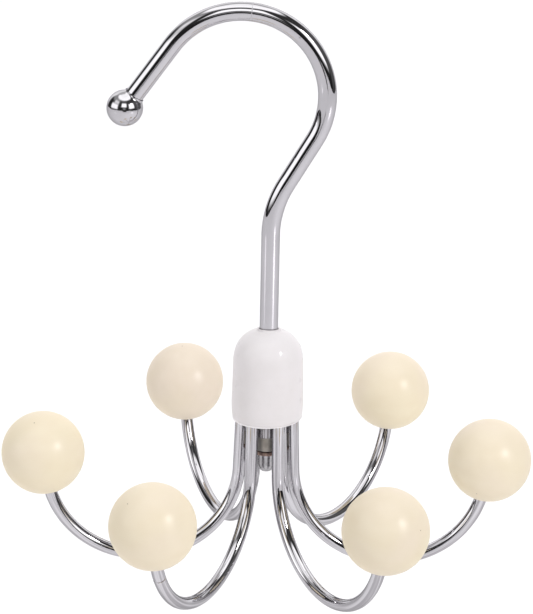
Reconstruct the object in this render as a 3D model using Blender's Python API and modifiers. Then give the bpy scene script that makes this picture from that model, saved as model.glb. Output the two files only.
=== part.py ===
"""Rotating closet hook: a rod hook whose shank carries a spinning rack of six ball-ended arms.

World origin: the saddle, the point inside the hook's bow that rests on the closet rod.
+Z is up and the hook lies in the XZ plane, with its mouth towards -X.
An azimuth turns about the shank from -Y (the front) towards +X.
"""
import math

import bpy

MM = 0.001

# Fits between the pieces
SEAT_GAP = 0.3 * MM
RUN_GAP = 0.25 * MM

# Hook wire, sizes along its centreline
HOOK_WIRE_DIAMETER = 5.8 * MM
BOW_RADIUS = 26.2 * MM
BOW_TURN = math.radians(174.7)
NECK_BEND_RADIUS = 32.6 * MM
NECK_LEAN = math.radians(30.5)
NECK_RUN = 16.4 * MM
TIP_RUN = 24.3 * MM
SHANK_LENGTH = 78.4 * MM

# Ball on the hook's tip
TIP_BALL_DIAMETER = 11.2 * MM
TIP_BALL_BORE_DEPTH = 5.0 * MM

# Stack on the shank, upwards from its lower end
SHANK_STUB = 6.4 * MM
RETAINING_RING_DIAMETER = 8.0 * MM
RETAINING_RING_THICKNESS = 1.3 * MM
BUSH_DIAMETER = 8.2 * MM
BUSH_LENGTH = 4.8 * MM
SLEEVE_DIAMETER = 11.6 * MM
SLEEVE_SHOW = 5.0 * MM
STOP_RING_DIAMETER = 9.4 * MM
STOP_RING_THICKNESS = 1.0 * MM
EDGE_CHAMFER = 0.35 * MM

# White cover over the sleeve and the arms' upper ends
COVER_HEIGHT = 29.7 * MM
COVER_WALL = 0.9 * MM
COVER_LIP = 0.3 * MM
COVER_LIP_HEIGHT = 5.9 * MM
COVER_SHOULDER_DRAW_IN = 0.3 * MM
COVER_DOME_RISE = 10.7 * MM
COVER_CROWN_THICKNESS = 1.8 * MM
COVER_HOLE_GAP = 0.45 * MM
COVER_SEAT_DROP = 9.5 * MM
COVER_SEAT_WIDTH = 1.85 * MM

# Arms, sizes along their centrelines
ARM_WIRE_DIAMETER = 4.0 * MM
ARM_LEAN = math.radians(1.9)
ARM_LEAN_BEND_RADIUS = 40.0 * MM
ARM_RUN = 15.6 * MM
ARM_BOW_RADIUS = 30.6 * MM
ARM_BOW_TURN = math.radians(169.5)
ARM_END_RUN = 9.1 * MM

# Balls on the arms
BALL_DIAMETER = 26.4 * MM
BALL_BORE_DEPTH = 11.0 * MM

# Where each arm is joined to the sleeve
ARM_SPACING = math.radians(60)
FIRST_ARM_AZIMUTH = math.radians(-34.2)

# How far each arm is bent round from there, and how much more than the others its bow turns
ARM_BENDS = {
    "front_left": (math.radians(7.1), math.radians(0.2)),
    "front_right": (math.radians(5.1), math.radians(-0.9)),
    "right": (math.radians(1.4), 0),
    "back_right": (math.radians(-2.0), math.radians(1.1)),
    "back_left": (math.radians(-2.5), math.radians(-0.7)),
    "left": (math.radians(8.9), 0),
}

# Fineness of the round shapes
BEND_STEP = math.radians(6)
HOOK_ROUNDNESS = 6
ARM_ROUNDNESS = 4
BALL_STEPS = 28
BALL_RINGS = 14
TIP_BALL_STEPS = 24
TIP_BALL_RINGS = 10
COVER_STEPS = 48
COVER_DOME_STEPS = 11
COVER_CURVE_STEPS = 7
STACK_STEPS = 32
END_STEPS = 4
SHARP_ANGLE = math.radians(32)
MERGE_DISTANCE = 0.01 * MM

# Sizes that follow from the ones above
HOOK_WIRE_RADIUS = HOOK_WIRE_DIAMETER / 2
ARM_WIRE_RADIUS = ARM_WIRE_DIAMETER / 2
RUNNING_BORE_RADIUS = HOOK_WIRE_RADIUS + RUN_GAP
SEATED_BORE_RADIUS = HOOK_WIRE_RADIUS + SEAT_GAP
ARM_RING_RADIUS = SLEEVE_DIAMETER / 2 + SEAT_GAP + ARM_WIRE_RADIUS
COVER_BORE_RADIUS = ARM_RING_RADIUS + ARM_WIRE_RADIUS + SEAT_GAP
COVER_HOLE_RADIUS = HOOK_WIRE_RADIUS + COVER_HOLE_GAP


def follow(start, heading, moves):
    """Points of a wire bent in one plane, with its end and last heading.

    A move is (length, None) for a straight run or (radius, turn) for a bend,
    where a positive turn is anticlockwise.
    """
    x, z = start
    points = [(x, z)]
    for size, turn in moves:
        if turn is None:
            x += size * math.cos(heading)
            z += size * math.sin(heading)
            points.append((x, z))
            continue
        side = math.copysign(size, turn)
        centre_x = x - side * math.sin(heading)
        centre_z = z + side * math.cos(heading)
        steps = max(2, math.ceil(abs(turn) / BEND_STEP))
        for step in range(1, steps + 1):
            angle = heading + turn * step / steps
            x = centre_x + side * math.sin(angle)
            z = centre_z - side * math.cos(angle)
            points.append((x, z))
        heading += turn
    return points, (x, z), heading


def quarter_curve(start, end, steps):
    """Points after start on a quarter ellipse that leaves it upright and ends at end."""
    (start_x, start_z), (end_x, end_z) = start, end
    points = []
    for step in range(1, steps + 1):
        angle = math.pi / 2 * step / steps
        x = start_x + (end_x - start_x) * (1 - math.cos(angle))
        z = start_z + (end_z - start_z) * math.sin(angle)
        points.append((x, z))
    return points


def dome_curve(hole_radius, top, shoulder_radius, rise, steps):
    """Points down a dome, from the hole in its top to its shoulder."""
    first_angle = math.asin(hole_radius / shoulder_radius)
    shoulder = top - rise * math.cos(first_angle)
    points = []
    for step in range(steps + 1):
        angle = first_angle + (math.pi / 2 - first_angle) * step / steps
        points.append((shoulder_radius * math.sin(angle), shoulder + rise * math.cos(angle)))
    return points


def make_material(name, color, roughness, metallic=0.0):
    """A Principled material."""
    material = bpy.data.materials.new(name)
    material.use_nodes = True
    shader = material.node_tree.nodes["Principled BSDF"]
    shader.inputs["Base Color"].default_value = (*color, 1.0)
    shader.inputs["Roughness"].default_value = roughness
    shader.inputs["Metallic"].default_value = metallic
    material.diffuse_color = (*color, 1.0)
    return material


def add_object(name, data, material, collection, parent, location=(0, 0, 0), rotation=(0, 0, 0)):
    """Put data into the scene under its parent, with its material."""
    piece = bpy.data.objects.new(name, data)
    collection.objects.link(piece)
    piece.data.materials.append(material)
    piece.parent = parent
    piece.location = location
    piece.rotation_euler = rotation
    return piece


def wire_curve(name, points, diameter, roundness, rounded_start=False):
    """A round wire along points in the XZ plane, cut square or with a rounded start."""
    radii = [1.0] * len(points)
    if rounded_start:
        (start_x, start_z), radius = points[0], diameter / 2
        angles = [math.pi / 2 * step / END_STEPS for step in range(1, END_STEPS + 1)]
        end_cap = [(start_x, start_z + radius * (1 - math.cos(angle))) for angle in angles]
        points = end_cap + points[1:]
        radii = [math.sin(angle) for angle in angles] + radii[1:]
    curve = bpy.data.curves.new(name, "CURVE")
    curve.dimensions = "3D"
    curve.bevel_depth = diameter / 2
    curve.bevel_resolution = roundness
    curve.use_fill_caps = True
    spline = curve.splines.new("POLY")
    spline.points.add(len(points) - 1)
    for point, (x, z), radius in zip(spline.points, points, radii):
        point.co = (x, 0, z, 1)
        point.radius = radius
    return curve


def turned_mesh(name, profile, steps, closed):
    """A solid turned about Z from a profile of (radius, height) points.

    The profile runs down its outer side. A closed one is a ring's section,
    and an open one starts and ends on the axis.
    """
    count = len(profile)
    links = [(index, index + 1) for index in range(count - 1)]
    if closed:
        links.append((count - 1, 0))
    outline = bpy.data.meshes.new(name + "_profile")
    outline.from_pydata([(radius, 0, height) for radius, height in profile], links, [])
    holder = bpy.data.objects.new(name + "_profile", outline)
    bpy.context.scene.collection.objects.link(holder)
    screw = holder.modifiers.new("turn", "SCREW")
    screw.steps = steps
    screw.render_steps = steps
    screw.use_merge_vertices = True
    screw.merge_threshold = MERGE_DISTANCE
    screw.use_smooth_shade = True
    solid = bpy.data.meshes.new_from_object(holder.evaluated_get(bpy.context.evaluated_depsgraph_get()))
    solid.name = name
    bpy.data.objects.remove(holder)
    bpy.data.meshes.remove(outline)
    solid.set_sharp_from_angle(angle=SHARP_ANGLE)
    return solid


def ring_profile(bore_radius, outer_radius, bottom, top):
    """Section of a ring or sleeve with its outer edges chamfered."""
    return [
        (bore_radius, top),
        (outer_radius - EDGE_CHAMFER, top),
        (outer_radius, top - EDGE_CHAMFER),
        (outer_radius, bottom + EDGE_CHAMFER),
        (outer_radius - EDGE_CHAMFER, bottom),
        (bore_radius, bottom),
    ]


def bored_ball_profile(ball_radius, bore_radius, bore_depth, rings):
    """Section of a ball with a blind bore up from its lowest point."""
    mouth_angle = math.pi - math.asin(bore_radius / ball_radius)
    angles = [mouth_angle * ring / rings for ring in range(rings + 1)]
    profile = [(ball_radius * math.sin(angle), ball_radius * math.cos(angle)) for angle in angles]
    profile[0] = (0, ball_radius)
    bore_top = bore_depth - ball_radius
    return profile + [(bore_radius, bore_top), (0, bore_top)]


def cover_profile(mouth, top):
    """Section of the domed cover, with its shank hole and the seat on the arms' ends."""
    widest = COVER_BORE_RADIUS + COVER_WALL
    shoulder_radius = widest - COVER_SHOULDER_DRAW_IN
    lip_start = (widest, mouth + COVER_LIP_HEIGHT)
    lip_end = (COVER_BORE_RADIUS + COVER_LIP, mouth)
    seat = top - COVER_SEAT_DROP
    pocket = (COVER_BORE_RADIUS - COVER_SEAT_WIDTH, seat)
    ceiling = (COVER_HOLE_RADIUS, top - COVER_CROWN_THICKNESS)
    return [
        *dome_curve(COVER_HOLE_RADIUS, top, shoulder_radius, COVER_DOME_RISE, COVER_DOME_STEPS),
        lip_start,
        *quarter_curve(lip_start, lip_end, COVER_CURVE_STEPS),
        (COVER_BORE_RADIUS, mouth),
        (COVER_BORE_RADIUS, seat),
        pocket,
        *quarter_curve(pocket, ceiling, COVER_CURVE_STEPS),
    ]


def hook_route():
    """The hook wire from the shank's lower end to the tip ball's centre.

    The route starts at the origin. The saddle, the wire's inner side at the top of the bow,
    is returned with it.
    """
    neck = [(SHANK_LENGTH, None), (NECK_BEND_RADIUS, -NECK_LEAN), (NECK_RUN, None)]
    _, (bow_x, bow_z), bow_heading = follow((0, 0), math.pi / 2, neck)
    saddle_x = bow_x - BOW_RADIUS * math.sin(bow_heading)
    saddle_z = bow_z + BOW_RADIUS * math.cos(bow_heading) + BOW_RADIUS - HOOK_WIRE_RADIUS
    points, end, heading = follow((0, 0), math.pi / 2, neck + [(BOW_RADIUS, BOW_TURN), (TIP_RUN, None)])
    return points, end, heading, (saddle_x, saddle_z)


def shorten(points, length):
    """The same wire with its last straight run cut shorter."""
    (x, z), (end_x, end_z) = points[-2:]
    run = math.hypot(end_x - x, end_z - z)
    share = (run - length) / run
    return points[:-1] + [(x + (end_x - x) * share, z + (end_z - z) * share)]


def build_hook(materials, collection, shank, stack):
    """The hook wire, the ball on its tip and the two rings fixed on its shank."""
    points, tip, heading, _ = hook_route()
    tip_radius = TIP_BALL_DIAMETER / 2
    wire_points = shorten(points, tip_radius - TIP_BALL_BORE_DEPTH + SEAT_GAP)
    curve = wire_curve("hook_wire", wire_points, HOOK_WIRE_DIAMETER, HOOK_ROUNDNESS, rounded_start=True)
    add_object("hook_wire", curve, materials["chrome"], collection, shank)

    profile = bored_ball_profile(tip_radius, SEATED_BORE_RADIUS, TIP_BALL_BORE_DEPTH, TIP_BALL_RINGS)
    ball = turned_mesh("hook_tip_ball", profile, TIP_BALL_STEPS, closed=False)
    turn = (0, math.pi / 2 - heading, 0)
    add_object("hook_tip_ball", ball, materials["chrome"], collection, shank, (tip[0], 0, tip[1]), turn)

    for name, slot, diameter in (
        ("retaining_ring", "copper", RETAINING_RING_DIAMETER),
        ("shank_stop_ring", "steel", STOP_RING_DIAMETER),
    ):
        profile = ring_profile(SEATED_BORE_RADIUS, diameter / 2, *stack[name])
        ring = turned_mesh(name, profile, STACK_STEPS, closed=True)
        add_object(name, ring, materials[slot], collection, shank)


def build_hub(materials, collection, swivel, stack):
    """The cover, the sleeve that the arms are joined to, and the bush under it."""
    cover = turned_mesh("hub_cover", cover_profile(*stack["hub_cover"]), COVER_STEPS, closed=True)
    add_object("hub_cover", cover, materials["white"], collection, swivel)
    for name, slot, diameter in (
        ("core_sleeve", "steel", SLEEVE_DIAMETER),
        ("thrust_bush", "nylon", BUSH_DIAMETER),
    ):
        profile = ring_profile(RUNNING_BORE_RADIUS, diameter / 2, *stack[name])
        sleeve = turned_mesh(name, profile, STACK_STEPS, closed=True)
        add_object(name, sleeve, materials[slot], collection, swivel)


def build_arms(materials, collection, swivel, stack):
    """Six wire arms round the sleeve, each with a ball on its end."""
    mouth = stack["hub_cover"][0]
    arm_top = stack["arm_top"]
    ball_radius = BALL_DIAMETER / 2
    profile = bored_ball_profile(ball_radius, ARM_WIRE_RADIUS + SEAT_GAP, BALL_BORE_DEPTH, BALL_RINGS)
    for index, (place, (splay, extra_turn)) in enumerate(ARM_BENDS.items()):
        route = [
            (arm_top - mouth, None),
            (ARM_LEAN_BEND_RADIUS, ARM_LEAN),
            (ARM_RUN, None),
            (ARM_BOW_RADIUS, ARM_BOW_TURN + extra_turn),
            (ARM_END_RUN, None),
        ]
        points, (ball_x, ball_z), heading = follow((0, arm_top), -math.pi / 2, route)
        wire_points = shorten(points, ball_radius - BALL_BORE_DEPTH + SEAT_GAP)

        azimuth = FIRST_ARM_AZIMUTH + ARM_SPACING * index
        foot = (ARM_RING_RADIUS * math.sin(azimuth), -ARM_RING_RADIUS * math.cos(azimuth))
        facing = azimuth + splay - math.pi / 2

        curve = wire_curve("arm_" + place, wire_points, ARM_WIRE_DIAMETER, ARM_ROUNDNESS)
        add_object("arm_" + place, curve, materials["chrome"], collection, swivel, (*foot, 0), (0, 0, facing))

        ball = turned_mesh("ball_" + place, profile, BALL_STEPS, closed=False)
        centre = (foot[0] + ball_x * math.cos(facing), foot[1] + ball_x * math.sin(facing), ball_z)
        turn = (0, math.pi / 2 - heading, facing)
        add_object("ball_" + place, ball, materials["cream"], collection, swivel, centre, turn)


def stack_heights():
    """Bottom and top of each piece on the shank, above the shank's lower end."""
    ring_bottom = SHANK_STUB
    ring_top = ring_bottom + RETAINING_RING_THICKNESS
    bush_bottom = ring_top + SEAT_GAP
    bush_top = bush_bottom + BUSH_LENGTH
    sleeve_bottom = bush_top + SEAT_GAP
    cover_mouth = sleeve_bottom + SLEEVE_SHOW
    cover_top = cover_mouth + COVER_HEIGHT
    arm_top = cover_top - COVER_SEAT_DROP - SEAT_GAP
    stop_ring_bottom = arm_top - STOP_RING_THICKNESS
    sleeve_top = stop_ring_bottom - SEAT_GAP
    return {
        "retaining_ring": (ring_bottom, ring_top),
        "thrust_bush": (bush_bottom, bush_top),
        "core_sleeve": (sleeve_bottom, sleeve_top),
        "shank_stop_ring": (stop_ring_bottom, arm_top),
        "hub_cover": (cover_mouth, cover_top),
        "arm_top": arm_top,
    }


def build():
    """The whole closet hook."""
    for piece in list(bpy.data.objects):
        bpy.data.objects.remove(piece)
    collection = bpy.data.collections.new("rotating_closet_hook")
    bpy.context.scene.collection.children.link(collection)
    materials = {
        "chrome": make_material("chrome", (0.72, 0.71, 0.73), 0.08, metallic=1.0),
        "steel": make_material("steel", (0.36, 0.35, 0.36), 0.35, metallic=1.0),
        "copper": make_material("copper", (0.42, 0.25, 0.16), 0.45, metallic=1.0),
        "nylon": make_material("nylon", (0.52, 0.48, 0.43), 0.6),
        "white": make_material("white", (0.85, 0.84, 0.84), 0.2),
        "cream": make_material("cream", (0.86, 0.75, 0.58), 0.35),
    }

    stack = stack_heights()
    _, _, _, (saddle_x, saddle_z) = hook_route()
    for name in ("shank", "swivel"):
        axis = bpy.data.objects.new(name, None)
        collection.objects.link(axis)
        axis.location = (-saddle_x, 0, -saddle_z)
    shank, swivel = bpy.data.objects["shank"], bpy.data.objects["swivel"]
    build_hook(materials, collection, shank, stack)
    build_hub(materials, collection, swivel, stack)
    build_arms(materials, collection, swivel, stack)


build()
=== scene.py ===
"""Looks of the rotating closet hook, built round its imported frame.

Lengths are in metres, +Z is up, the hook lies in the XZ plane and the front is -Y.
An azimuth turns about the shank from the front towards +X.
"""
import math

import bpy
from mathutils import Matrix, Vector


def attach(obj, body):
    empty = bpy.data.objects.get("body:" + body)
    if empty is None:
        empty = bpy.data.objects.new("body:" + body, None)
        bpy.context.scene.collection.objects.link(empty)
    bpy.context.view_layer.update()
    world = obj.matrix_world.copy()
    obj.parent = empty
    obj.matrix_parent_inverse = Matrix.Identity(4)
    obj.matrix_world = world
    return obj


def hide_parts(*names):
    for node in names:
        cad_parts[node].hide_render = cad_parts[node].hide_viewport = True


MM = 0.001
QUARTER = math.pi / 2

# Sizes from the solids. Wires and balls are a hair smaller, to stay inside the solids' box.
# Heights are above the lower end of the shank.
HOOK_RADIUS = 2.885 * MM
BOW_RADIUS = 26.2 * MM
BOW_TURN = math.radians(174.7)
NECK_BEND_RADIUS = 32.6 * MM
NECK_LEAN = math.radians(30.5)
NECK_RUN = 16.4 * MM
TIP_RUN = 24.3 * MM
SHANK_LENGTH = 78.4 * MM
SHANK_FOOT = Vector((9.740165, 0, -145.673975)) * MM
TIP_BALL_RADIUS = 5.6 * MM
TIP_BORE_DEPTH = 5.0 * MM
SEAT_GAP = 0.3 * MM
RUN_GAP = 0.25 * MM
RING_BOTTOM, RING_TOP, RING_RADIUS = 6.4 * MM, 7.7 * MM, 4.0 * MM
BUSH_BOTTOM, BUSH_TOP, BUSH_RADIUS = 8.0 * MM, 12.8 * MM, 4.1 * MM
SLEEVE_BOTTOM, SLEEVE_TOP, SLEEVE_RADIUS = 13.1 * MM, 36.7 * MM, 5.8 * MM
STOP_BOTTOM, STOP_TOP, STOP_RADIUS = 37.0 * MM, 38.0 * MM, 4.7 * MM
COVER_MOUTH, COVER_TOP = 18.1 * MM, 47.8 * MM
COVER_BORE = 10.4 * MM
COVER_WALL = 0.9 * MM
COVER_LIP = 0.3 * MM
COVER_LIP_HEIGHT = 5.9 * MM
COVER_DRAW_IN = 0.3 * MM
COVER_DOME_RISE = 10.7 * MM
COVER_CROWN = 1.8 * MM
COVER_HOLE = 3.35 * MM
COVER_SEAT_DROP = 9.5 * MM
COVER_SEAT_WIDTH = 1.85 * MM
ARM_RADIUS = 1.99 * MM
ARM_RING = 8.1 * MM
ARM_TOP = 38.0 * MM
ARM_LEAN = math.radians(1.9)
ARM_LEAN_BEND = 40.0 * MM
ARM_RUN = 15.6 * MM
ARM_BOW_RADIUS = 30.6 * MM
ARM_BOW_TURN = math.radians(169.5)
ARM_END_RUN = 9.1 * MM
BALL_RADIUS = 13.13 * MM
BALL_BORE_DEPTH = 11.0 * MM
ARM_SPACING = math.radians(60)
FIRST_ARM_AZIMUTH = math.radians(-34.2)
# How far each arm is turned from its even place, and how much more its bow is bent
ARM_BENDS = {
    "front_left": (math.radians(7.1), math.radians(0.2)),
    "front_right": (math.radians(5.1), math.radians(-0.9)),
    "right": (math.radians(1.4), 0),
    "back_right": (math.radians(-2.0), math.radians(1.1)),
    "back_left": (math.radians(-2.5), math.radians(-0.7)),
    "left": (math.radians(8.9), 0),
}

# Trim that only the looks have
FOOT_RISE, FOOT_SHARE = 0.02 * MM, 0.08
TIP_SEAT_SHARE = 0.4
FILLET_RADIUS, FILLET_REACH, FILLET_EDGE = 3.75 * MM, 5.2 * MM, 3.2 * MM
FILLET_GROOVE = 0.4 * MM
RING_EDGE, STOP_EDGE, BUSH_EDGE, SLEEVE_EDGE = 0.4 * MM, 0.2 * MM, 0.35 * MM, 0.35 * MM
COVER_FULLNESS = 2.3
COVER_HOLE_EDGE = 0.2 * MM
COVER_RIM_RISE = 0.75 * MM
COVER_RIM_BORE = 3.03 * MM
COVER_RIM_WALL = 0.45 * MM
COVER_RIM_FILLET = 0.5 * MM
COVER_RIM_TILT = 0.11
COVER_TILT_REACH, COVER_TILT_FADE = 5.5 * MM, 1.5 * MM
COVER_BEAD = 0.3 * MM
COVER_BEAD_START = 0.4 * math.pi
COVER_BEAD_CLEAR = 2.1 * COVER_BEAD
COVER_ASKEW = 0.33 * MM
BALL_CHAMFER, BALL_CHAMFER_IN, BALL_CHAMFER_UP = 0.3 * MM, 0.25, 0.2
SEAMED_ARM = "front_left"
SEAM_BELOW_BALL, SEAM_HALF, SEAM_DEPTH = 5.6 * MM, 0.2 * MM, 0.35 * MM

# Fineness of the meshes
STATION_STEP = 0.7 * MM
HOOK_SIDES, ARM_SIDES = 56, 40
RING_SIDES, SLEEVE_SIDES, TIP_SIDES, COVER_SIDES, BALL_SIDES = 72, 96, 96, 144, 128
FOOT_STEPS, EDGE_STEPS, FILLET_STEPS, RIM_FILLET_STEPS = 8, 5, 8, 6
TIP_RINGS, BALL_RINGS, DOME_STEPS, LIP_STEPS, CEILING_STEPS, BEAD_STEPS = 48, 64, 40, 18, 12, 12
WIRE_CREASE, TURNED_CREASE = math.radians(40), math.radians(28)
ON_AXIS = 1e-9

# Where the texture points of each piece start, so that no two show the same pattern
TIP_SHIFT = Vector((0.07, 0.02, 0))
RING_SHIFT, STOP_SHIFT, BUSH_SHIFT, SLEEVE_SHIFT, COVER_SHIFT = 0.01, 0.02, 0.03, 0.04, 0.05
ARM_SHIFT_STEP = 0.03
BALL_SHIFT, BALL_SHIFT_STEP = 0.1, 0.05

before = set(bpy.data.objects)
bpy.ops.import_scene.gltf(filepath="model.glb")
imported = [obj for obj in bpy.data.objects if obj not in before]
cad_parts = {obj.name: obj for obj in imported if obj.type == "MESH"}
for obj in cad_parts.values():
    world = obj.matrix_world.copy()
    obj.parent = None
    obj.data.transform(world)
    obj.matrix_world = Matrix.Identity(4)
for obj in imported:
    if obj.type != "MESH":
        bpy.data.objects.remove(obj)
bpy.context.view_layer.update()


# Mesh making
def locate(start, heading, moves, distance):
    """Place and heading at a distance along a wire.

    Its moves are straight runs (length, None) and bends (radius, turn).
    """
    x, z = start
    for size, turn in moves:
        length = size if turn is None else size * abs(turn)
        here = min(distance, length)
        if turn is None:
            x += here * math.cos(heading)
            z += here * math.sin(heading)
        else:
            side = math.copysign(size, turn)
            centre_x = x - side * math.sin(heading)
            centre_z = z + side * math.cos(heading)
            heading += turn * here / length
            x = centre_x + side * math.sin(heading)
            z = centre_z - side * math.cos(heading)
        distance -= here
        if distance <= 0:
            break
    return x, z, heading


def total_length(moves):
    return sum(size if turn is None else size * abs(turn) for size, turn in moves)


def keep_ways(mesh, ways):
    """Keeps texture points as the attribute way."""
    attribute = mesh.attributes.new("way", "FLOAT_VECTOR", "POINT")
    attribute.data.foreach_set("vector", [c for p in ways for c in p])


def smooth_mesh(name, points, faces, ways, crease):
    """A smooth mesh on which edges sharper than crease stay sharp."""
    mesh = bpy.data.meshes.new(name)
    mesh.from_pydata([tuple(p) for p in points], [], faces)
    keep_ways(mesh, ways)
    mesh.shade_smooth()
    mesh.set_sharp_from_angle(angle=crease)
    return mesh


def middle_of(ring):
    return sum((Vector(p) for p in ring), Vector()) / len(ring)


def wire_mesh(name, start, heading, moves, stations, sides, shift=Vector()):
    """A round wire through stations of (distance, radius), closed at both ends.

    A texture point's z is the distance along the wire.
    """
    points, ways, faces = [], [], []
    for distance, radius in stations:
        x, z, way = locate(start, heading, moves, distance)
        normal = Vector((-math.sin(way), 0, math.cos(way)))
        for k in range(sides):
            a = math.tau * k / sides
            spoke = math.cos(a) * normal + math.sin(a) * Vector((0, 1, 0))
            points.append(Vector((x, 0, z)) + radius * spoke)
            ways.append(Vector((radius * math.cos(a), radius * math.sin(a), distance)) + shift)
    last = (len(stations) - 1) * sides
    for ring in range(0, last, sides):
        for k in range(sides):
            n = (k + 1) % sides
            faces.append((ring + k, ring + n, ring + sides + n, ring + sides + k))
    for ring in (0, last):
        middle = len(points)
        points.append(middle_of(points[ring:ring + sides]))
        ways.append(middle_of(ways[ring:ring + sides]))
        for k in range(sides):
            a, b = ring + k, ring + (k + 1) % sides
            faces.append((middle, b, a) if ring == 0 else (middle, a, b))
    return smooth_mesh(name, points, faces, ways, WIRE_CREASE)


def turned_mesh(name, profile, sides, shift, closed=False, shape=None):
    """A solid turned about Z from a section of (radius, height) points.

    The section runs from the axis to the axis, or is closed in itself. shape moves each point.
    """
    points, faces, rows = [], [], []
    for radius, height in profile:
        row = []
        for k in range(1 if radius <= ON_AXIS else sides):
            a = math.tau * k / sides
            row.append(len(points))
            points.append(Vector((radius * math.cos(a), radius * math.sin(a), height)))
        rows.append(row)
    if shape:
        points = [shape(p) for p in points]
    pairs = list(zip(rows, rows[1:]))
    if closed:
        pairs.append((rows[-1], rows[0]))
    for upper, lower in pairs:
        for k in range(sides):
            n = (k + 1) % sides
            if len(upper) == 1:
                faces.append((upper[0], lower[k], lower[n]))
            elif len(lower) == 1:
                faces.append((upper[n], upper[k], lower[0]))
            else:
                faces.append((upper[n], upper[k], lower[k], lower[n]))
    return smooth_mesh(name, points, faces, [p + shift for p in points], TURNED_CREASE)


def arc(centre, radius, first, last, steps):
    """Points on an arc in the section plane, from angle first to angle last."""
    angles = [first + (last - first) * i / steps for i in range(steps + 1)]
    return [(centre[0] + radius * math.cos(a), centre[1] + radius * math.sin(a)) for a in angles]


def rounded_ring(bore, outer, bottom, top, edge):
    """Section of a ring with all of its edges rounded."""
    return (
        arc((bore + edge, top - edge), edge, 2 * QUARTER, QUARTER, EDGE_STEPS)
        + arc((outer - edge, top - edge), edge, QUARTER, 0, EDGE_STEPS)
        + arc((outer - edge, bottom + edge), edge, 0, -QUARTER, EDGE_STEPS)
        + arc((bore + edge, bottom + edge), edge, -QUARTER, -2 * QUARTER, EDGE_STEPS)
    )


def add_piece(name, mesh, material, body, place, node):
    """A piece that replaces a node of the CAD and rides on a body."""
    mesh.transform(place)
    mesh.materials.append(material)
    piece = bpy.data.objects.new(name, mesh)
    bpy.context.scene.collection.objects.link(piece)
    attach(piece, body)
    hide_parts(node)


# Nodes, in the tree of a material or of the world
# A noise is its features in a metre, its detail, its stretch along each axis and its roughness.
MIX_BELOW, MIX_ABOVE, MIX_RESULT = 6, 7, 2
SPREAD = (0.3, 0.7)
NEW_STOP = 0.5
SPECK_CORE = 0.6
COAT_BLEND = 0.5
COAT_FADE_START, COAT_FADE_END, COAT_LEFT = 0.18, 0.5, 0.04


def new_material(name, color, roughness, metallic=0.0, **sockets):
    """A material, and its shader with plain values on the sockets."""
    material = bpy.data.materials.new(name)
    material.use_nodes = True
    shader = material.node_tree.nodes["Principled BSDF"]
    shader.inputs["Base Color"].default_value = (*color, 1)
    shader.inputs["Roughness"].default_value = roughness
    shader.inputs["Metallic"].default_value = metallic
    for socket, value in sockets.items():
        shader.inputs[socket.replace("_", " ")].default_value = value
    return material, shader


def add_node(owner, kind, inputs=(), **settings):
    """A node whose inputs are values, or the sockets that they are linked from."""
    node = owner.node_tree.nodes.new(kind)
    for key, value in settings.items():
        setattr(node, key, value)
    for key, value in dict(inputs).items():
        if isinstance(value, bpy.types.NodeSocket):
            owner.node_tree.links.new(value, node.inputs[key])
        else:
            node.inputs[key].default_value = value
    return node


def link(material, output, shader, socket):
    material.node_tree.links.new(output, shader.inputs[socket])


def math_of(owner, operation, *values):
    return add_node(owner, "ShaderNodeMath", dict(enumerate(values)), operation=operation).outputs[0]


def mix_of(owner, share, below, above, blend="MIX"):
    """The colour below where share is 0, and above where it is 1."""
    inputs = {"Factor": share, MIX_BELOW: below, MIX_ABOVE: above}
    node = add_node(owner, "ShaderNodeMix", inputs, data_type="RGBA", blend_type=blend)
    return node.outputs[MIX_RESULT]


def way_of(material):
    """The piece's own texture points."""
    return add_node(material, "ShaderNodeAttribute", attribute_name="way").outputs["Vector"]


def parts_of(owner, vector):
    return add_node(owner, "ShaderNodeSeparateXYZ", {0: vector}).outputs


def along_of(material):
    """The distance along a wire, and the height on a turned piece."""
    return parts_of(material, way_of(material))["Z"]


def noise_of(material, scale, detail, stretch=(1, 1, 1), rough=0.5):
    """Noise over the piece, with more of its features along an axis whose stretch is larger."""
    place = add_node(material, "ShaderNodeMapping", {"Vector": way_of(material), "Scale": stretch})
    inputs = {"Vector": place.outputs[0], "Scale": scale, "Detail": detail, "Roughness": rough}
    return add_node(material, "ShaderNodeTexNoise", inputs).outputs["Fac"]


def ramp_of(owner, value, tones, places=SPREAD):
    """Colours that follow a value from place to place."""
    node = add_node(owner, "ShaderNodeValToRGB", {"Fac": value})
    stops = node.color_ramp.elements
    while len(stops) < len(tones):
        stops.new(NEW_STOP)
    for stop, place, tone in zip(stops, places, tones):
        stop.position = place
        stop.color = (*tone, 1)
    return node.outputs["Color"]


def level_of(owner, value, low, high, out_low, out_high):
    """A value from low to high, turned into one from out_low to out_high."""
    inputs = {"Value": value, "From Min": low, "From Max": high, "To Min": out_low, "To Max": out_high}
    return add_node(owner, "ShaderNodeMapRange", inputs).outputs["Result"]


def bump_of(material, height, strength, distance, below=None):
    inputs = {"Height": height, "Strength": strength, "Distance": distance}
    if below is not None:
        inputs["Normal"] = below
    return add_node(material, "ShaderNodeBump", inputs).outputs["Normal"]


def fade_coat(material, shader, coat):
    """A clear coat whose gloss fades towards the outline, as on a satin surface."""
    facing = add_node(material, "ShaderNodeLayerWeight", {"Blend": COAT_BLEND}).outputs["Facing"]
    fading = level_of(material, facing, COAT_FADE_START, COAT_FADE_END, coat, coat * COAT_LEFT)
    link(material, fading, shader, "Coat Weight")


def specks_of(material, spacing, radius):
    """1 on rare specks of a radius, about one for each cube of the spacing, and 0 elsewhere."""
    inputs = {"Vector": way_of(material), "Scale": 1 / spacing}
    cells = add_node(material, "ShaderNodeTexVoronoi", inputs)
    reach = radius / spacing
    return level_of(material, cells.outputs["Distance"], SPECK_CORE * radius / spacing, reach, 1.0, 0.0)


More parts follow.
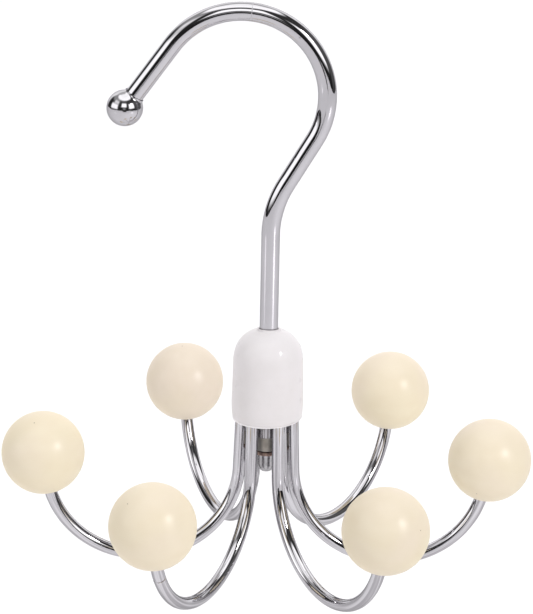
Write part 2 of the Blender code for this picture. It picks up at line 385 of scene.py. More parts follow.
# Chrome plate
PLATE = (0.47, 0.46, 0.48)
PLATE_TONES = ((0.455, 0.445, 0.465), (0.485, 0.475, 0.495))
PLATE_PATCHES = (120, 3)
PLATE_ROUGHNESS = 0.05
PLATE_EDGE_TINT = (0.5, 0.5, 0.5, 1)
STREAKS = (1500, 2, (1, 1, 0.02))
STREAK_TONES = ((0.33, 0.32, 0.335), (0.60, 0.59, 0.61))
STREAK_PLACES = (0.42, 0.58)
STREAK_SHARE = 0.75
SMEARS = (260, 4, (1, 1, 0.35), 0.6)
SMEAR_LOW, SMEAR_HIGH = 0.35, 0.75
LINE_CORE, LINE_REACH, LINE_ROUGHNESS = 0.08 * MM, 0.26 * MM, 0.4
DULL_ROUGHNESS, DULL_FROM, DULL_TO = 0.24, 0.7, 1.3
# Painted shade: darker plate tones at the shank's lower end, inside the cage of arms
DULL_SHADED_TONES = ((0.29, 0.285, 0.29), (0.42, 0.41, 0.42))
DULL_SHADED_PATCHES = (700, 4)
SPECK_SPACING, SPECK_RADIUS = 7.0 * MM, 0.22 * MM
SPECK_TONES = ((0.05, 0.045, 0.04), (0.16, 0.15, 0.14))
SPECK_PATCHES = (900, 3)
RIPPLES, RIPPLE_DEPTH = (330, 2, (1, 1, 0.25)), 0.02 * MM
DRAW_LINES, DRAW_LINE_DEPTH = (2600, 2, (1, 1, 0.03)), 0.006 * MM
HOOK_LINES, TIP_LINES, ARM_LINES = 0.25, 0.3, 0.35
WIRE_SHEEN, TIP_SHEEN = (0.03, 0.10), (0.09, 0.16)
DULL_END = 7.0 * MM
BOW_LINE = math.radians(114.5)
BOW_LINE_AT = SHANK_LENGTH + NECK_BEND_RADIUS * NECK_LEAN + NECK_RUN + BOW_RADIUS * BOW_LINE


def make_chrome(name, lines, line_at=None, dull_end=None, streaked=False, sheen=WIRE_SHEEN):
    """Polished chrome plate over drawn wire, with draw lines, ripple, smears and specks.

    line_at is the distance along the wire of a rough line round it; the plate is dull up to dull_end, and its
    colour is darkened there as painted shade.
    """
    material, shader = new_material(name, PLATE, PLATE_ROUGHNESS, 1.0, Specular_Tint=PLATE_EDGE_TINT)
    tone = ramp_of(material, noise_of(material, *PLATE_PATCHES), PLATE_TONES)
    if streaked:
        streaks = ramp_of(material, noise_of(material, *STREAKS), STREAK_TONES, STREAK_PLACES)
        tone = mix_of(material, STREAK_SHARE, tone, streaks)
    smear = noise_of(material, *SMEARS)
    rough = level_of(material, smear, SMEAR_LOW, SMEAR_HIGH, *sheen)
    if line_at is not None:
        beside = math_of(material, "ABSOLUTE", math_of(material, "SUBTRACT", along_of(material), line_at))
        stroke = level_of(material, beside, LINE_CORE, LINE_REACH, LINE_ROUGHNESS, 0.0)
        rough = math_of(material, "MAXIMUM", rough, stroke)
    if dull_end is not None:
        first, last = dull_end * DULL_FROM, dull_end * DULL_TO
        dull = level_of(material, along_of(material), first, last, DULL_ROUGHNESS, 0.0)
        rough = math_of(material, "MAXIMUM", rough, dull)
        # Painted shade towards the wire's start
        dimmed_by_shade = ramp_of(material, noise_of(material, *DULL_SHADED_PATCHES), DULL_SHADED_TONES)
        tone = mix_of(material, level_of(material, along_of(material), first, last, 1.0, 0.0), tone, dimmed_by_shade)
    dirt = ramp_of(material, noise_of(material, *SPECK_PATCHES), SPECK_TONES)
    tone = mix_of(material, specks_of(material, SPECK_SPACING, SPECK_RADIUS), tone, dirt)
    link(material, tone, shader, "Base Color")
    link(material, rough, shader, "Roughness")
    ripple = bump_of(material, noise_of(material, *RIPPLES), lines, RIPPLE_DEPTH)
    drawn = noise_of(material, *DRAW_LINES)
    link(material, bump_of(material, drawn, lines, DRAW_LINE_DEPTH, ripple), shader, "Normal")
    return material


# Cream lacquer
CREAM, CREAM_ROUGHNESS = (0.73, 0.64, 0.50), 0.5
CREAM_COAT, CREAM_COAT_ROUGHNESS, CREAM_SPECULAR = 0.6, 0.32, 0.08
CREAM_PATCHES = (90, 4, (1, 1, 2.2))
CREAM_TONES = ((0.72, 0.63, 0.46), (0.74, 0.66, 0.495))
ROSY_PATCHES = (300, 3)
ROSY_AND_SKYLIT_TONES = ((0.72, 0.625, 0.515), (0.735, 0.64, 0.535))
BLUSH_PATCHES = (48, 1)
BLUSH_LOW, BLUSH_HIGH, BLUSH_SHARE = 0.42, 0.62, 0.4
# Painted sheen of skylight: the rosier tone is laid on more from the bottom height up to the top height, up
# to this share
SKYLIT_BOTTOM, SKYLIT_TOP, SKYLIT_TOP_SHARE = -4 * MM, 13 * MM, 0.6
PIT_SPACING, PIT_RADIUS, PIT_STRENGTH, PIT_DEPTH = 9.5 * MM, 0.24 * MM, 0.6, 0.1 * MM
PIT_PATCHES = (900, 3)
PIT_TONES = ((0.20, 0.15, 0.10), (0.42, 0.34, 0.24))
SATIN_PATCHES, SATIN_ROUGHNESS = (420, 3), (0.42, 0.54)
SKIN_GRAINS, SKIN_STRENGTH, SKIN_DEPTH = (900, 2), 0.25, 0.02 * MM
# How much lighter or darker each ball's lacquer is made, as painted light and shade for how lit each ball is,
# and how much rosier than the rest
BALL_SHADING_AND_BLUSH = {
    "front_left": (1.025, -0.1),
    "front_right": (0.985, 0.0),
    "right": (1.01, 0.0),
    "back_right": (1.04, 0.0),
    "back_left": (1.0, 0.5),
    "left": (1.045, -0.25),
}


def make_cream(name, light, blush):
    """Cream lacquer over turned beads, with soft mottling, tiny pits and a satin skin. Its tones are scaled
    per ball as painted light and shade, and a paler, rosier tone lies in random patches and, as a painted
    sheen of skylight, more towards the top.
    """

    # Painted light and shade: every tone of this ball is scaled by how lit it is
    def lit(*tones):
        return [tuple(light * part for part in tone) for tone in tones]

    coat = {"Coat_Roughness": CREAM_COAT_ROUGHNESS, "Specular_IOR_Level": CREAM_SPECULAR}
    material, shader = new_material(name, *lit(CREAM), CREAM_ROUGHNESS, **coat)
    tone = ramp_of(material, noise_of(material, *CREAM_PATCHES), lit(*CREAM_TONES))
    rosy_and_skylit = ramp_of(material, noise_of(material, *ROSY_PATCHES), lit(*ROSY_AND_SKYLIT_TONES))
    blushing = noise_of(material, *BLUSH_PATCHES)
    patches = level_of(material, blushing, BLUSH_LOW, BLUSH_HIGH, blush, BLUSH_SHARE + blush)
    # Painted sheen of skylight, more towards the top of each ball
    upper = level_of(material, along_of(material), SKYLIT_BOTTOM, SKYLIT_TOP, 0.0, SKYLIT_TOP_SHARE)
    tone = mix_of(material, math_of(material, "ADD", patches, upper), tone, rosy_and_skylit)
    pits = specks_of(material, PIT_SPACING, PIT_RADIUS)
    tone = mix_of(material, pits, tone, ramp_of(material, noise_of(material, *PIT_PATCHES), PIT_TONES))
    link(material, tone, shader, "Base Color")
    fade_coat(material, shader, CREAM_COAT)
    satin = level_of(material, noise_of(material, *SATIN_PATCHES), *SPREAD, *SATIN_ROUGHNESS)
    link(material, satin, shader, "Roughness")
    skin = bump_of(material, noise_of(material, *SKIN_GRAINS), SKIN_STRENGTH, SKIN_DEPTH)
    deep = math_of(material, "SUBTRACT", 1.0, pits)
    link(material, bump_of(material, deep, PIT_STRENGTH, PIT_DEPTH, skin), shader, "Normal")
    return material


# White plastic
WHITE, WHITE_ROUGHNESS = (0.74, 0.72, 0.74), 0.3
WHITE_COAT, WHITE_COAT_ROUGHNESS, WHITE_SPECULAR = 0.25, 0.05, 0.05
WHITE_PATCHES, WHITE_PLACES = (140, 4), (0.35, 0.7)
WHITE_TONES = ((0.71, 0.682, 0.69), (0.733, 0.704, 0.717))
# Painted highlight: a lighter band along the lip of the mouth, where light from below catches it
LIP_HIGHLIGHT_PATCHES = (900, 2)
LIP_HIGHLIGHT_TONES = ((0.88, 0.86, 0.875), (0.92, 0.90, 0.915))
LIP_HIGHLIGHT_FROM, LIP_HIGHLIGHT_TO = COVER_MOUTH + 0.35 * MM, COVER_MOUTH + 0.9 * MM
HANDLED = (300, 4)
HANDLED_LOW, HANDLED_HIGH, HANDLED_ROUGHNESS = 0.3, 0.75, (0.25, 0.38)
WHITE_RIPPLES, WHITE_RIPPLE_STRENGTH, WHITE_RIPPLE_DEPTH = (500, 2), 0.2, 0.02 * MM


def make_white():
    """Glossy white moulded plastic with a faint ripple and handling marks, and a painted highlight along the
    lip of its mouth.
    """
    coat = {"Coat_Roughness": WHITE_COAT_ROUGHNESS, "Specular_IOR_Level": WHITE_SPECULAR}
    material, shader = new_material("white_plastic", WHITE, WHITE_ROUGHNESS, **coat)
    tone = ramp_of(material, noise_of(material, *WHITE_PATCHES), WHITE_TONES, WHITE_PLACES)
    # Painted highlight along the mouth's lip
    lip_highlight = ramp_of(material, noise_of(material, *LIP_HIGHLIGHT_PATCHES), LIP_HIGHLIGHT_TONES)
    share = level_of(material, along_of(material), LIP_HIGHLIGHT_FROM, LIP_HIGHLIGHT_TO, 1.0, 0.0)
    link(material, mix_of(material, share, tone, lip_highlight), shader, "Base Color")
    fade_coat(material, shader, WHITE_COAT)
    handled = level_of(material, noise_of(material, *HANDLED), HANDLED_LOW, HANDLED_HIGH, *HANDLED_ROUGHNESS)
    link(material, handled, shader, "Roughness")
    ripple = noise_of(material, *WHITE_RIPPLES)
    link(material, bump_of(material, ripple, WHITE_RIPPLE_STRENGTH, WHITE_RIPPLE_DEPTH), shader, "Normal")
    return material


# Steel
STEEL, STEEL_ROUGHNESS = (0.42, 0.41, 0.42), 0.3
# Streaks round the sleeve: partly brazing stains, partly painted reflections of the arms standing round it
STAIN_AND_REFLECTION_STREAKS = (1300, 3, (1.3, 1.3, 0.05), 0.6)
STAIN_AND_REFLECTION_TONES = ((0.13, 0.12, 0.12), (0.30, 0.29, 0.295), (0.40, 0.39, 0.405))
STAIN_PLACES = (0.42, 0.5, 0.6)
STAINED_ROUGHNESS = (0.32, 0.10)
TURNING_LINES = (4200, 2, (0.03, 0.03, 1))
TURNING_STRENGTH, TURNING_DEPTH = 0.5, 0.02 * MM


def make_steel():
    """Dull plated steel with turning lines round it, and streaks that are partly brazing stains and partly
    painted reflections of the arms.
    """
    material, shader = new_material("sleeve_steel", STEEL, STEEL_ROUGHNESS, 1.0)
    stain_and_reflection = noise_of(material, *STAIN_AND_REFLECTION_STREAKS)
    link(material, ramp_of(material, stain_and_reflection, STAIN_AND_REFLECTION_TONES, STAIN_PLACES), shader, "Base Color")
    link(material, level_of(material, stain_and_reflection, *SPREAD, *STAINED_ROUGHNESS), shader, "Roughness")
    turning = noise_of(material, *TURNING_LINES)
    link(material, bump_of(material, turning, TURNING_STRENGTH, TURNING_DEPTH), shader, "Normal")
    return material


# Copper alloy
COPPER, COPPER_ROUGHNESS = (0.42, 0.25, 0.16), 0.4
HEAT_PATCHES = (650, 4)
HEAT_TONES = ((0.10, 0.075, 0.068), (0.21, 0.15, 0.13), (0.36, 0.245, 0.20))
HEAT_PLACES = (0.3, 0.5, 0.72)
HEATED_ROUGHNESS = (0.6, 0.3)
COPPER_GRAINS, COPPER_GRAIN_STRENGTH, COPPER_GRAIN_DEPTH = (1500, 3), 0.4, 0.03 * MM


def make_copper():
    """Brown, heat-tinted copper alloy."""
    material, shader = new_material("ring_copper", COPPER, COPPER_ROUGHNESS, 1.0)
    patch = noise_of(material, *HEAT_PATCHES)
    link(material, ramp_of(material, patch, HEAT_TONES, HEAT_PLACES), shader, "Base Color")
    link(material, level_of(material, patch, *SPREAD, *HEATED_ROUGHNESS), shader, "Roughness")
    grain = noise_of(material, *COPPER_GRAINS)
    link(material, bump_of(material, grain, COPPER_GRAIN_STRENGTH, COPPER_GRAIN_DEPTH), shader, "Normal")
    return material


# Nylon
NYLON, NYLON_ROUGHNESS = (0.52, 0.48, 0.43), 0.6
GRIME_PATCHES = (330, 5)
GRIME_TONES = ((0.36, 0.32, 0.28), (0.50, 0.465, 0.415), (0.60, 0.57, 0.52))
GRIME_PLACES = (0.3, 0.55, 0.8)
GREASY_ROUGHNESS = (0.42, 0.68)
# Painted shade on the bush behind each arm, lighter midway between the arms: its tones, and where the wave
# lays them on
ARM_SHADE_PATCHES = (700, 3)
ARM_SHADE_TONES = ((0.11, 0.105, 0.10), (0.17, 0.16, 0.15))
ARM_SHADE_LOW, ARM_SHADE_HIGH, ARM_SHADE_SHARE = -0.6, 0.7, 0.9
NYLON_GRAINS, NYLON_GRAIN_STRENGTH, NYLON_GRAIN_DEPTH = (2200, 3), 0.4, 0.02 * MM


def make_nylon():
    """Matte beige-grey nylon, a little greasy where it runs, with painted shade that darkens it behind each
    arm.
    """
    material, shader = new_material("bush_nylon", NYLON, NYLON_ROUGHNESS)
    # A wave round the bush, 1 at each arm and -1 midway between arms, which lays on the painted shade
    own = parts_of(material, way_of(material))
    across = math_of(material, "SUBTRACT", own["X"], BUSH_SHIFT)
    toward = math_of(material, "MULTIPLY", own["Y"], -1.0)
    turn = math_of(material, "ARCTAN2", across, toward)
    past_arm = math_of(material, "SUBTRACT", turn, FIRST_ARM_AZIMUTH)
    shade_wave = math_of(material, "COSINE", math_of(material, "MULTIPLY", past_arm, math.tau / ARM_SPACING))
    grime = noise_of(material, *GRIME_PATCHES)
    tone = ramp_of(material, grime, GRIME_TONES, GRIME_PLACES)
    arm_shade = ramp_of(material, noise_of(material, *ARM_SHADE_PATCHES), ARM_SHADE_TONES)
    tone = mix_of(material, level_of(material, shade_wave, ARM_SHADE_LOW, ARM_SHADE_HIGH, 0.0, ARM_SHADE_SHARE), tone, arm_shade)
    link(material, tone, shader, "Base Color")
    link(material, level_of(material, grime, *SPREAD, *GREASY_ROUGHNESS), shader, "Roughness")
    grain = noise_of(material, *NYLON_GRAINS)
    link(material, bump_of(material, grain, NYLON_GRAIN_STRENGTH, NYLON_GRAIN_DEPTH), shader, "Normal")
    return material


chrome = make_chrome("hook_chrome", HOOK_LINES, BOW_LINE_AT, DULL_END)
tip_chrome = make_chrome("tip_ball_chrome", TIP_LINES, sheen=TIP_SHEEN)
arm_chrome = make_chrome("arm_chrome", ARM_LINES, streaked=True)
creams = {place: make_cream("cream_lacquer_" + place, *tones) for place, tones in BALL_SHADING_AND_BLUSH.items()}
white = make_white()
steel = make_steel()
copper = make_copper()
nylon = make_nylon()

# The hook wire and the ball on its tip
hook_moves = [
    (SHANK_LENGTH, None),
    (NECK_BEND_RADIUS, -NECK_LEAN),
    (NECK_RUN, None),
    (BOW_RADIUS, BOW_TURN),
    (TIP_RUN, None),
]
hook_length = total_length(hook_moves)
wire_end = hook_length - (TIP_BALL_RADIUS - TIP_BORE_DEPTH + SEAT_GAP)
tip_x, tip_z, tip_heading = locate((0, 0), QUARTER, hook_moves, hook_length)
at_shank = Matrix.Translation(SHANK_FOOT)


def even_stations(first, last, radius):
    steps = math.ceil((last - first) / STATION_STEP)
    return [(first + (last - first) * i / steps, radius) for i in range(steps + 1)]


def rounded_stations(radius):
    """Stations of a wire's rounded start."""
    angles = [QUARTER * i / FOOT_STEPS for i in range(1, FOOT_STEPS)]
    foot = [(FOOT_RISE, radius * FOOT_SHARE)]
    return foot + [(radius * (1 - math.cos(a)), radius * math.sin(a)) for a in angles]


stations = rounded_stations(HOOK_RADIUS) + even_stations(HOOK_RADIUS, wire_end, HOOK_RADIUS)
hook_mesh = wire_mesh("hook_wire_plated", (0, 0), QUARTER, hook_moves, stations, HOOK_SIDES)
add_piece("hook_wire_plated", hook_mesh, chrome, "hook", at_shank, "hook_wire")


def tip_section():
    """Section of the tip ball, with a fillet that runs up round the wire."""
    bore = HOOK_RADIUS + SEAT_GAP * TIP_SEAT_SHARE
    low = math.pi - math.asin(FILLET_RADIUS / TIP_BALL_RADIUS)
    angles = [low * i / TIP_RINGS for i in range(1, TIP_RINGS + 1)]
    ball = [(TIP_BALL_RADIUS * math.sin(a), TIP_BALL_RADIUS * math.cos(a)) for a in angles]
    start = Vector(ball[-1])
    inward = (FILLET_RADIUS - FILLET_EDGE) / -math.cos(low)
    corner = start - Vector((-math.cos(low), math.sin(low))) * inward
    end = Vector((FILLET_EDGE, -FILLET_REACH))
    shares = [i / FILLET_STEPS for i in range(1, FILLET_STEPS + 1)]
    fillet = [tuple(start * (1 - t) ** 2 + corner * 2 * t * (1 - t) + end * t * t) for t in shares]
    bore_end = TIP_BORE_DEPTH - TIP_BALL_RADIUS
    seat = [(bore, FILLET_GROOVE - FILLET_REACH), (bore, bore_end), (0, bore_end)]
    return [(0, TIP_BALL_RADIUS)] + ball + fillet + seat


tip_mesh = turned_mesh("tip_ball_plated", tip_section(), TIP_SIDES, TIP_SHIFT)
tip_place = at_shank @ Matrix.Translation((tip_x, 0, tip_z)) @ Matrix.Rotation(QUARTER - tip_heading, 4, "Y")
add_piece("tip_ball_plated", tip_mesh, tip_chrome, "hook", tip_place, "hook_tip_ball")

# The stack on the shank
seated = HOOK_RADIUS + SEAT_GAP / 2
running = HOOK_RADIUS + RUN_GAP


def add_turned(name, profile, sides, material, body, node, shift):
    mesh = turned_mesh(name, profile, sides, Vector((shift, 0, 0)), closed=True)
    add_piece(name, mesh, material, body, at_shank, node)


add_turned(
    "retaining_ring_brown", rounded_ring(seated, RING_RADIUS, RING_BOTTOM, RING_TOP, RING_EDGE),
    RING_SIDES, copper, "hook", "retaining_ring", RING_SHIFT,
)
add_turned(
    "stop_ring_plated", rounded_ring(seated, STOP_RADIUS, STOP_BOTTOM, STOP_TOP, STOP_EDGE),
    RING_SIDES, steel, "hook", "shank_stop_ring", STOP_SHIFT,
)
add_turned(
    "bush_moulded", rounded_ring(running, BUSH_RADIUS, BUSH_BOTTOM, BUSH_TOP, BUSH_EDGE),
    RING_SIDES, nylon, "rack", "thrust_bush", BUSH_SHIFT,
)
add_turned(
    "sleeve_turned", rounded_ring(running, SLEEVE_RADIUS, SLEEVE_BOTTOM, SLEEVE_TOP, SLEEVE_EDGE),
    SLEEVE_SIDES, steel, "rack", "core_sleeve", SLEEVE_SHIFT,
)


# The white cover
def cover_section():
    """Closed section of the cover: rim of the hole, dome, lip, bead, bore, seat and ceiling."""
    widest = COVER_BORE + COVER_WALL
    shoulder = widest - COVER_DRAW_IN
    rim = COVER_HOLE + COVER_RIM_WALL
    across = rim / shoulder
    steepness = (across ** -COVER_FULLNESS - 1) ** (1 / COVER_FULLNESS - 1)
    slope = math.atan(COVER_DOME_RISE / shoulder * steepness)
    first = math.asin(((rim + COVER_RIM_FILLET * (1 - math.sin(slope))) / shoulder) ** (COVER_FULLNESS / 2))
    base = COVER_TOP - COVER_DOME_RISE
    dome = []
    for i in range(DOME_STEPS + 1):
        a = first + (QUARTER - first) * i / DOME_STEPS
        out, rise = (max(share, 0) ** (2 / COVER_FULLNESS) for share in (math.sin(a), math.cos(a)))
        dome.append((shoulder * out, base + COVER_DOME_RISE * rise))
    foot = dome[0][1] + COVER_RIM_FILLET * math.cos(slope)
    edge_middle = dome[0][1] + COVER_RIM_RISE - COVER_HOLE_EDGE
    edge = arc((COVER_RIM_BORE + COVER_HOLE_EDGE, edge_middle), COVER_HOLE_EDGE, math.pi, QUARTER, EDGE_STEPS)
    edge += arc((rim - COVER_HOLE_EDGE, edge_middle), COVER_HOLE_EDGE, QUARTER, 0, EDGE_STEPS)
    fillet_middle = (rim + COVER_RIM_FILLET, foot)
    edge += arc(fillet_middle, COVER_RIM_FILLET, math.pi, 3 * QUARTER - slope, RIM_FILLET_STEPS)[:-1]
    lip_start = COVER_MOUTH + COVER_LIP_HEIGHT
    lip = [(widest, lip_start)]
    for i in range(1, LIP_STEPS + 1):
        a = QUARTER * i / LIP_STEPS
        height = lip_start - COVER_LIP_HEIGHT * math.sin(a)
        if height > COVER_MOUTH + COVER_BEAD_CLEAR:
            lip.append((widest - (COVER_WALL - COVER_LIP) * (1 - math.cos(a)), height))
    bead_middle = (COVER_BORE + COVER_BEAD, COVER_MOUTH + COVER_BEAD)
    bead = arc(bead_middle, COVER_BEAD, COVER_BEAD_START, -math.pi, BEAD_STEPS)
    seat = COVER_TOP - COVER_SEAT_DROP
    pocket = COVER_BORE - COVER_SEAT_WIDTH
    rise, draw = COVER_TOP - COVER_CROWN - seat, pocket - COVER_HOLE
    ceiling = []
    for i in range(1, CEILING_STEPS + 1):
        a = QUARTER * i / CEILING_STEPS
        ceiling.append((pocket - draw * (1 - math.cos(a)), seat + rise * math.sin(a)))
    return edge + dome + lip + bead + [(COVER_BORE, seat), (pocket, seat)] + ceiling


def askew(p):
    """Lifts the mouth of the cover a little, and more on its right, and tilts the rim of its hole."""
    share = min(max((COVER_MOUTH + COVER_LIP_HEIGHT - p.z) / COVER_LIP_HEIGHT, 0), 1)
    lift = COVER_ASKEW * (1 + p.x / (COVER_BORE + COVER_WALL)) * share
    if p.z > COVER_TOP - COVER_CROWN:
        near = min(max((COVER_TILT_REACH - math.hypot(p.x, p.y)) / COVER_TILT_FADE, 0), 1)
        lift -= COVER_RIM_TILT * p.y * near
    return Vector((p.x, p.y, p.z + lift))


cover_shift = Vector((COVER_SHIFT, 0, 0))
cover_mesh = turned_mesh("cover_moulded", cover_section(), COVER_SIDES, cover_shift, closed=True, shape=askew)
add_piece("cover_moulded", cover_mesh, white, "rack", at_shank, "hub_cover")


# The arms and their balls
def ball_section():
    """Section of a ball with a bore up from its lowest point and a small chamfer round the bore's mouth."""
    bore = ARM_RADIUS + SEAT_GAP / 2
    low = math.pi - math.asin((bore + BALL_CHAMFER) / BALL_RADIUS)
    angles = [low * i / BALL_RINGS for i in range(1, BALL_RINGS + 1)]
    section = [(0, BALL_RADIUS)] + [(BALL_RADIUS * math.sin(a), BALL_RADIUS * math.cos(a)) for a in angles]
    rim = BALL_RADIUS * math.cos(low)
    section.append((bore + BALL_CHAMFER * BALL_CHAMFER_IN, rim + BALL_CHAMFER * BALL_CHAMFER_UP))
    bore_end = BALL_BORE_DEPTH - BALL_RADIUS
    return section + [(bore, rim + BALL_CHAMFER), (bore, bore_end), (0, bore_end)]


ball_profile = ball_section()
for index, (place, (splay, extra)) in enumerate(ARM_BENDS.items()):
    moves = [
        (ARM_TOP - COVER_MOUTH, None),
        (ARM_LEAN_BEND, ARM_LEAN),
        (ARM_RUN, None),
        (ARM_BOW_RADIUS, ARM_BOW_TURN + extra),
        (ARM_END_RUN, None),
    ]
    length = total_length(moves)
    ball_x, ball_z, heading = locate((0, ARM_TOP), -QUARTER, moves, length)
    end = length - (BALL_RADIUS - BALL_BORE_DEPTH + SEAT_GAP)
    azimuth = FIRST_ARM_AZIMUTH + ARM_SPACING * index
    foot = Vector((ARM_RING * math.sin(azimuth), -ARM_RING * math.cos(azimuth), 0))
    at_arm = at_shank @ Matrix.Translation(foot) @ Matrix.Rotation(azimuth + splay - QUARTER, 4, "Z")
    stations = even_stations(0, end, ARM_RADIUS)
    if place == SEAMED_ARM:
        seam = length - BALL_RADIUS - SEAM_BELOW_BALL
        groove = [(seam + SEAM_HALF * k, ARM_RADIUS - (SEAM_DEPTH if k == 0 else 0)) for k in (-1, 0, 1)]
        stations = sorted([s for s in stations if abs(s[0] - seam) > SEAM_HALF] + groove)
    shift = Vector((0, ARM_SHIFT_STEP * index, 0))
    mesh = wire_mesh("arm_wire_" + place, (0, ARM_TOP), -QUARTER, moves, stations, ARM_SIDES, shift)
    add_piece("arm_wire_" + place, mesh, arm_chrome, "rack", at_arm, "arm_" + place)

    ball_shift = Vector((BALL_SHIFT, BALL_SHIFT_STEP * index, 0))
    mesh = turned_mesh("bead_" + place, ball_profile, BALL_SIDES, ball_shift)
    at_ball = at_arm @ Matrix.Translation((ball_x, 0, ball_z)) @ Matrix.Rotation(QUARTER - heading, 4, "Y")
    add_piece("bead_" + place, mesh, creams[place], "rack", at_ball, "ball_" + place)

# The floor, with a wedge left open in front, behind the camera, that the wires reflect as dark lines
FLOOR_DROP = 0.40
FLOOR_LEFT, FLOOR_RIGHT, FLOOR_FRONT, FLOOR_REAR = -3.6, 2.2, -3.33, 2.4
FLOOR_GAP_LEFT, FLOOR_GAP_RIGHT, FLOOR_GAP_END = math.radians(-9), math.radians(13), -1.65
FLOOR_PAINT, FLOOR_ROUGHNESS, FLOOR_GLOW = (0.85, 0.84, 0.86), 0.9, 0.1
FLOOR_PATCHES = (13, 4)
FLOOR_TONES = ((0.84, 0.83, 0.85), (0.86, 0.85, 0.87))
FLOOR_SCUFFS, FLOOR_SCUFF_ROUGHNESS = (30, 3), (0.85, 0.95)
FLOOR_GRAINS, FLOOR_GRAIN_STRENGTH, FLOOR_GRAIN_DEPTH = (400, 2), 0.1, 0.2 * MM

floor_corners = []
for y in (FLOOR_FRONT, FLOOR_GAP_END, FLOOR_REAR):
    gap_sides = [-min(y, FLOOR_GAP_END) * math.tan(a) for a in (FLOOR_GAP_LEFT, FLOOR_GAP_RIGHT)]
    floor_corners += [(x, y, 0) for x in (FLOOR_LEFT, *gap_sides, FLOOR_RIGHT)]
floor_faces = [(0, 1, 5, 4), (2, 3, 7, 6), (4, 5, 9, 8), (5, 6, 10, 9), (6, 7, 11, 10)]
floor_mesh = bpy.data.meshes.new("floor")
floor_mesh.from_pydata(floor_corners, [], floor_faces)
keep_ways(floor_mesh, [v.co for v in floor_mesh.vertices])
floor = bpy.data.objects.new("floor", floor_mesh)
bpy.context.scene.collection.objects.link(floor)
floor.location = (0, 0, -FLOOR_DROP)
paint, floor_shader = new_material("floor_paint", FLOOR_PAINT, FLOOR_ROUGHNESS, Emission_Strength=FLOOR_GLOW)
link(paint, ramp_of(paint, noise_of(paint, *FLOOR_PATCHES), FLOOR_TONES), floor_shader, "Base Color")
scuffs = level_of(paint, noise_of(paint, *FLOOR_SCUFFS), *SPREAD, *FLOOR_SCUFF_ROUGHNESS)
link(paint, scuffs, floor_shader, "Roughness")
floor_grain = bump_of(paint, noise_of(paint, *FLOOR_GRAINS), FLOOR_GRAIN_STRENGTH, FLOOR_GRAIN_DEPTH)
link(paint, floor_grain, floor_shader, "Normal")
floor_mesh.materials.append(paint)

# The studio round it. Angles are in degrees. Each sky is its grey tones by elevation.
FRONT_SKY = {
    -90: (0.02, 0.02, 0.02),
    -12: (0.01, 0.01, 0.01),
    6: (0.012, 0.012, 0.012),
    56: (0.03, 0.03, 0.03),
    63: (1.0, 1.0, 1.0),
    90: (0.85, 0.85, 0.85),
}
REAR_SKY = {
    -90: (0.50, 0.495, 0.51),
    -2: (0.60, 0.595, 0.61),
    4: (0.75, 0.75, 0.76),
    42: (0.80, 0.80, 0.80),
    50: (0.38, 0.38, 0.38),
    66: (0.38, 0.38, 0.38),
    76: (0.95, 0.95, 0.95),
    90: (0.85, 0.85, 0.85),
}
REAR_RIGHT, REAR_RIGHT_SOFT, REAR_LEFT, REAR_LEFT_SOFT = 128, 9, -131, 7
# Softboxes: azimuths of the left and right side, elevations of the bottom and top, softness, brightness
SOFTBOXES = [
    (-18, 15, 17, 40, 3, 1.0),
    (32, 67, 6, 33, 5, 1.05),
    (-93, -44, 2, 25, 5, 0.95),
    (-8, 9, 1, 11, 2.5, 0.17),
    (-82, -42, 25, 46, 7, 0.5),
    (-130, -44, 36, 60, 6, 0.2),
    (-40, 20, 47, 62, 4, 0.07),
    (76, 134, -8, 40, 8, 0.05),
]
STUDIO_STRENGTH, BACKDROP_STRENGTH = 2.2, 1.0
BACKDROP = (1, 1, 1, 1)

world = bpy.data.worlds.new("studio")
bpy.context.scene.world = world
world.use_nodes = True
world.node_tree.nodes.clear()

direction = parts_of(world, add_node(world, "ShaderNodeTexCoord").outputs["Generated"])
azimuth_of = math_of(world, "ARCTAN2", direction["X"], math_of(world, "MULTIPLY", direction["Y"], -1.0))
elevation_of = math_of(world, "ARCSINE", direction["Z"])


def step_up(value, degrees, soft):
    """0 below an angle and 1 above it, with a soft edge."""
    middle, half = math.radians(degrees), math.radians(soft)
    inputs = {"Value": value, "From Min": middle - half, "From Max": middle + half}
    return add_node(world, "ShaderNodeMapRange", inputs, interpolation_type="SMOOTHSTEP").outputs["Result"]


def band(value, low, high, soft):
    return math_of(world, "SUBTRACT", step_up(value, low, soft), step_up(value, high, soft))


def softbox(left, right, bottom, top, soft, brightness):
    across = band(azimuth_of, left, right, soft)
    area = math_of(world, "MULTIPLY", across, band(elevation_of, bottom, top, soft))
    return math_of(world, "MULTIPLY", area, brightness)


def sky_of(sky):
    return ramp_of(world, upness, list(sky.values()), [(degrees + 90) / 180 for degrees in sky])


upness = level_of(world, elevation_of, -QUARTER, QUARTER, 0, 1)
rear_left = math_of(world, "SUBTRACT", 1.0, step_up(azimuth_of, REAR_LEFT, REAR_LEFT_SOFT))
to_rear = math_of(world, "ADD", step_up(azimuth_of, REAR_RIGHT, REAR_RIGHT_SOFT), rear_left)
studio = mix_of(world, to_rear, sky_of(FRONT_SKY), sky_of(REAR_SKY))
boxes = softbox(*SOFTBOXES[0])
for box in SOFTBOXES[1:]:
    boxes = math_of(world, "ADD", boxes, softbox(*box))
studio = mix_of(world, 1.0, studio, boxes, "ADD")
surroundings = add_node(world, "ShaderNodeBackground", {"Color": studio, "Strength": STUDIO_STRENGTH})
backdrop = add_node(world, "ShaderNodeBackground", {"Color": BACKDROP, "Strength": BACKDROP_STRENGTH})
to_camera = add_node(world, "ShaderNodeLightPath").outputs["Is Camera Ray"]
looks = {0: to_camera, 1: surroundings.outputs[0], 2: backdrop.outputs[0]}
seen = add_node(world, "ShaderNodeMixShader", looks)
add_node(world, "ShaderNodeOutputWorld", {"Surface": seen.outputs[0]})

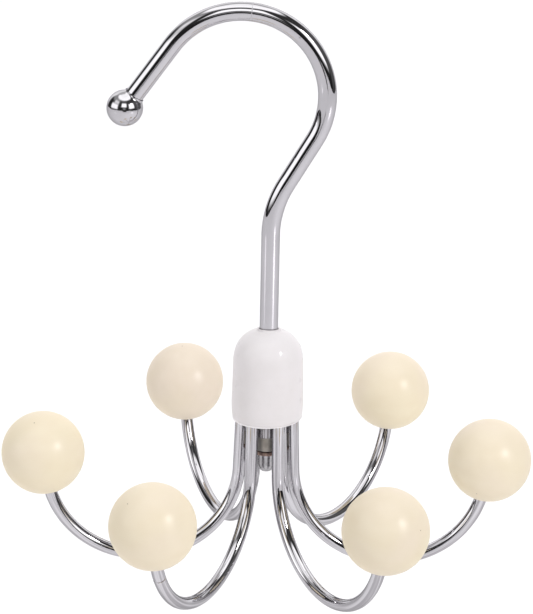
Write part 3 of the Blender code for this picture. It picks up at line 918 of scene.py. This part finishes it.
# The lamps. Angles are in degrees.
LOOK_AT = Vector((9.74, 0, -90.652)) * MM
KEY_AZIMUTH, KEY_ELEVATION, KEY_DISTANCE = 50, 31, 1.1
KEY_WIDTH, KEY_HEIGHT, KEY_POWER = 0.16, 0.17, 4.2
POOL_LAMP_HEIGHT, POOL_LAMP_REACH, POOL_LAMP_SIZE = 0.53, 1.04, 0.03
# Pool lamps: azimuth, power and spread
POOL_LAMPS = {"pool_right": (50, 18.7, 50), "pool_left": (-62, 9.8, 42)}


def add_lamp(name, kind, place, power):
    light = bpy.data.lights.new(name, kind)
    light.energy = power
    lamp = bpy.data.objects.new(name, light)
    bpy.context.scene.collection.objects.link(lamp)
    lamp.location = place
    return lamp, light


key_turn, key_rise = math.radians(KEY_AZIMUTH), math.radians(KEY_ELEVATION)
toward_key = Vector((
    math.sin(key_turn) * math.cos(key_rise), -math.cos(key_turn) * math.cos(key_rise), math.sin(key_rise)
))
key, key_light = add_lamp("key", "AREA", LOOK_AT + toward_key * KEY_DISTANCE, KEY_POWER)
key_light.shape = "RECTANGLE"
key_light.size, key_light.size_y = KEY_WIDTH, KEY_HEIGHT
key.rotation_euler = toward_key.to_track_quat("Z", "Y").to_euler()

# Each of these lights a soft pool on the floor, which the vertical wires reflect as a stripe
for name, (degrees, power, spread) in POOL_LAMPS.items():
    a = math.radians(degrees)
    x, y = LOOK_AT.x + POOL_LAMP_REACH * math.sin(a), -POOL_LAMP_REACH * math.cos(a)
    pool, pool_light = add_lamp(name, "SPOT", (x, y, POOL_LAMP_HEIGHT - FLOOR_DROP), power)
    pool_light.spot_size = math.radians(spread)
    pool_light.spot_blend = 1.0
    pool_light.shadow_soft_size = POOL_LAMP_SIZE
    pool.visible_glossy = False

# The camera, at the photograph's viewing angle
DISTANCE = 0.813289
ELEVATION = math.radians(18.317)
ROLL = math.radians(1.139)
FOCAL, CENTRE_X, CENTRE_Y = 2605.25, 269.22, 307.02
IMAGE_WIDTH, IMAGE_HEIGHT = 533, 614
SENSOR = 36
NEAREST = 0.01
forward = Vector((0, math.cos(ELEVATION), -math.sin(ELEVATION)))
right = Vector((1, 0, 0))
up = right.cross(forward)
turned_right = right * math.cos(ROLL) + up * math.sin(ROLL)
turned_up = up * math.cos(ROLL) - right * math.sin(ROLL)
camera = bpy.data.cameras.new("camera")
eye = bpy.data.objects.new("camera", camera)
bpy.context.scene.collection.objects.link(eye)
stand = Matrix((turned_right, turned_up, -forward)).transposed().to_4x4()
stand.translation = LOOK_AT - forward * DISTANCE
eye.matrix_world = stand
camera.sensor_width = SENSOR
camera.lens = FOCAL / IMAGE_HEIGHT * SENSOR
camera.shift_x = (IMAGE_WIDTH / 2 - CENTRE_X) / IMAGE_HEIGHT
camera.shift_y = (CENTRE_Y - IMAGE_HEIGHT / 2) / IMAGE_HEIGHT
camera.clip_start = NEAREST
bpy.context.scene.camera = eye
bpy.context.scene.view_settings.view_transform = "Standard"
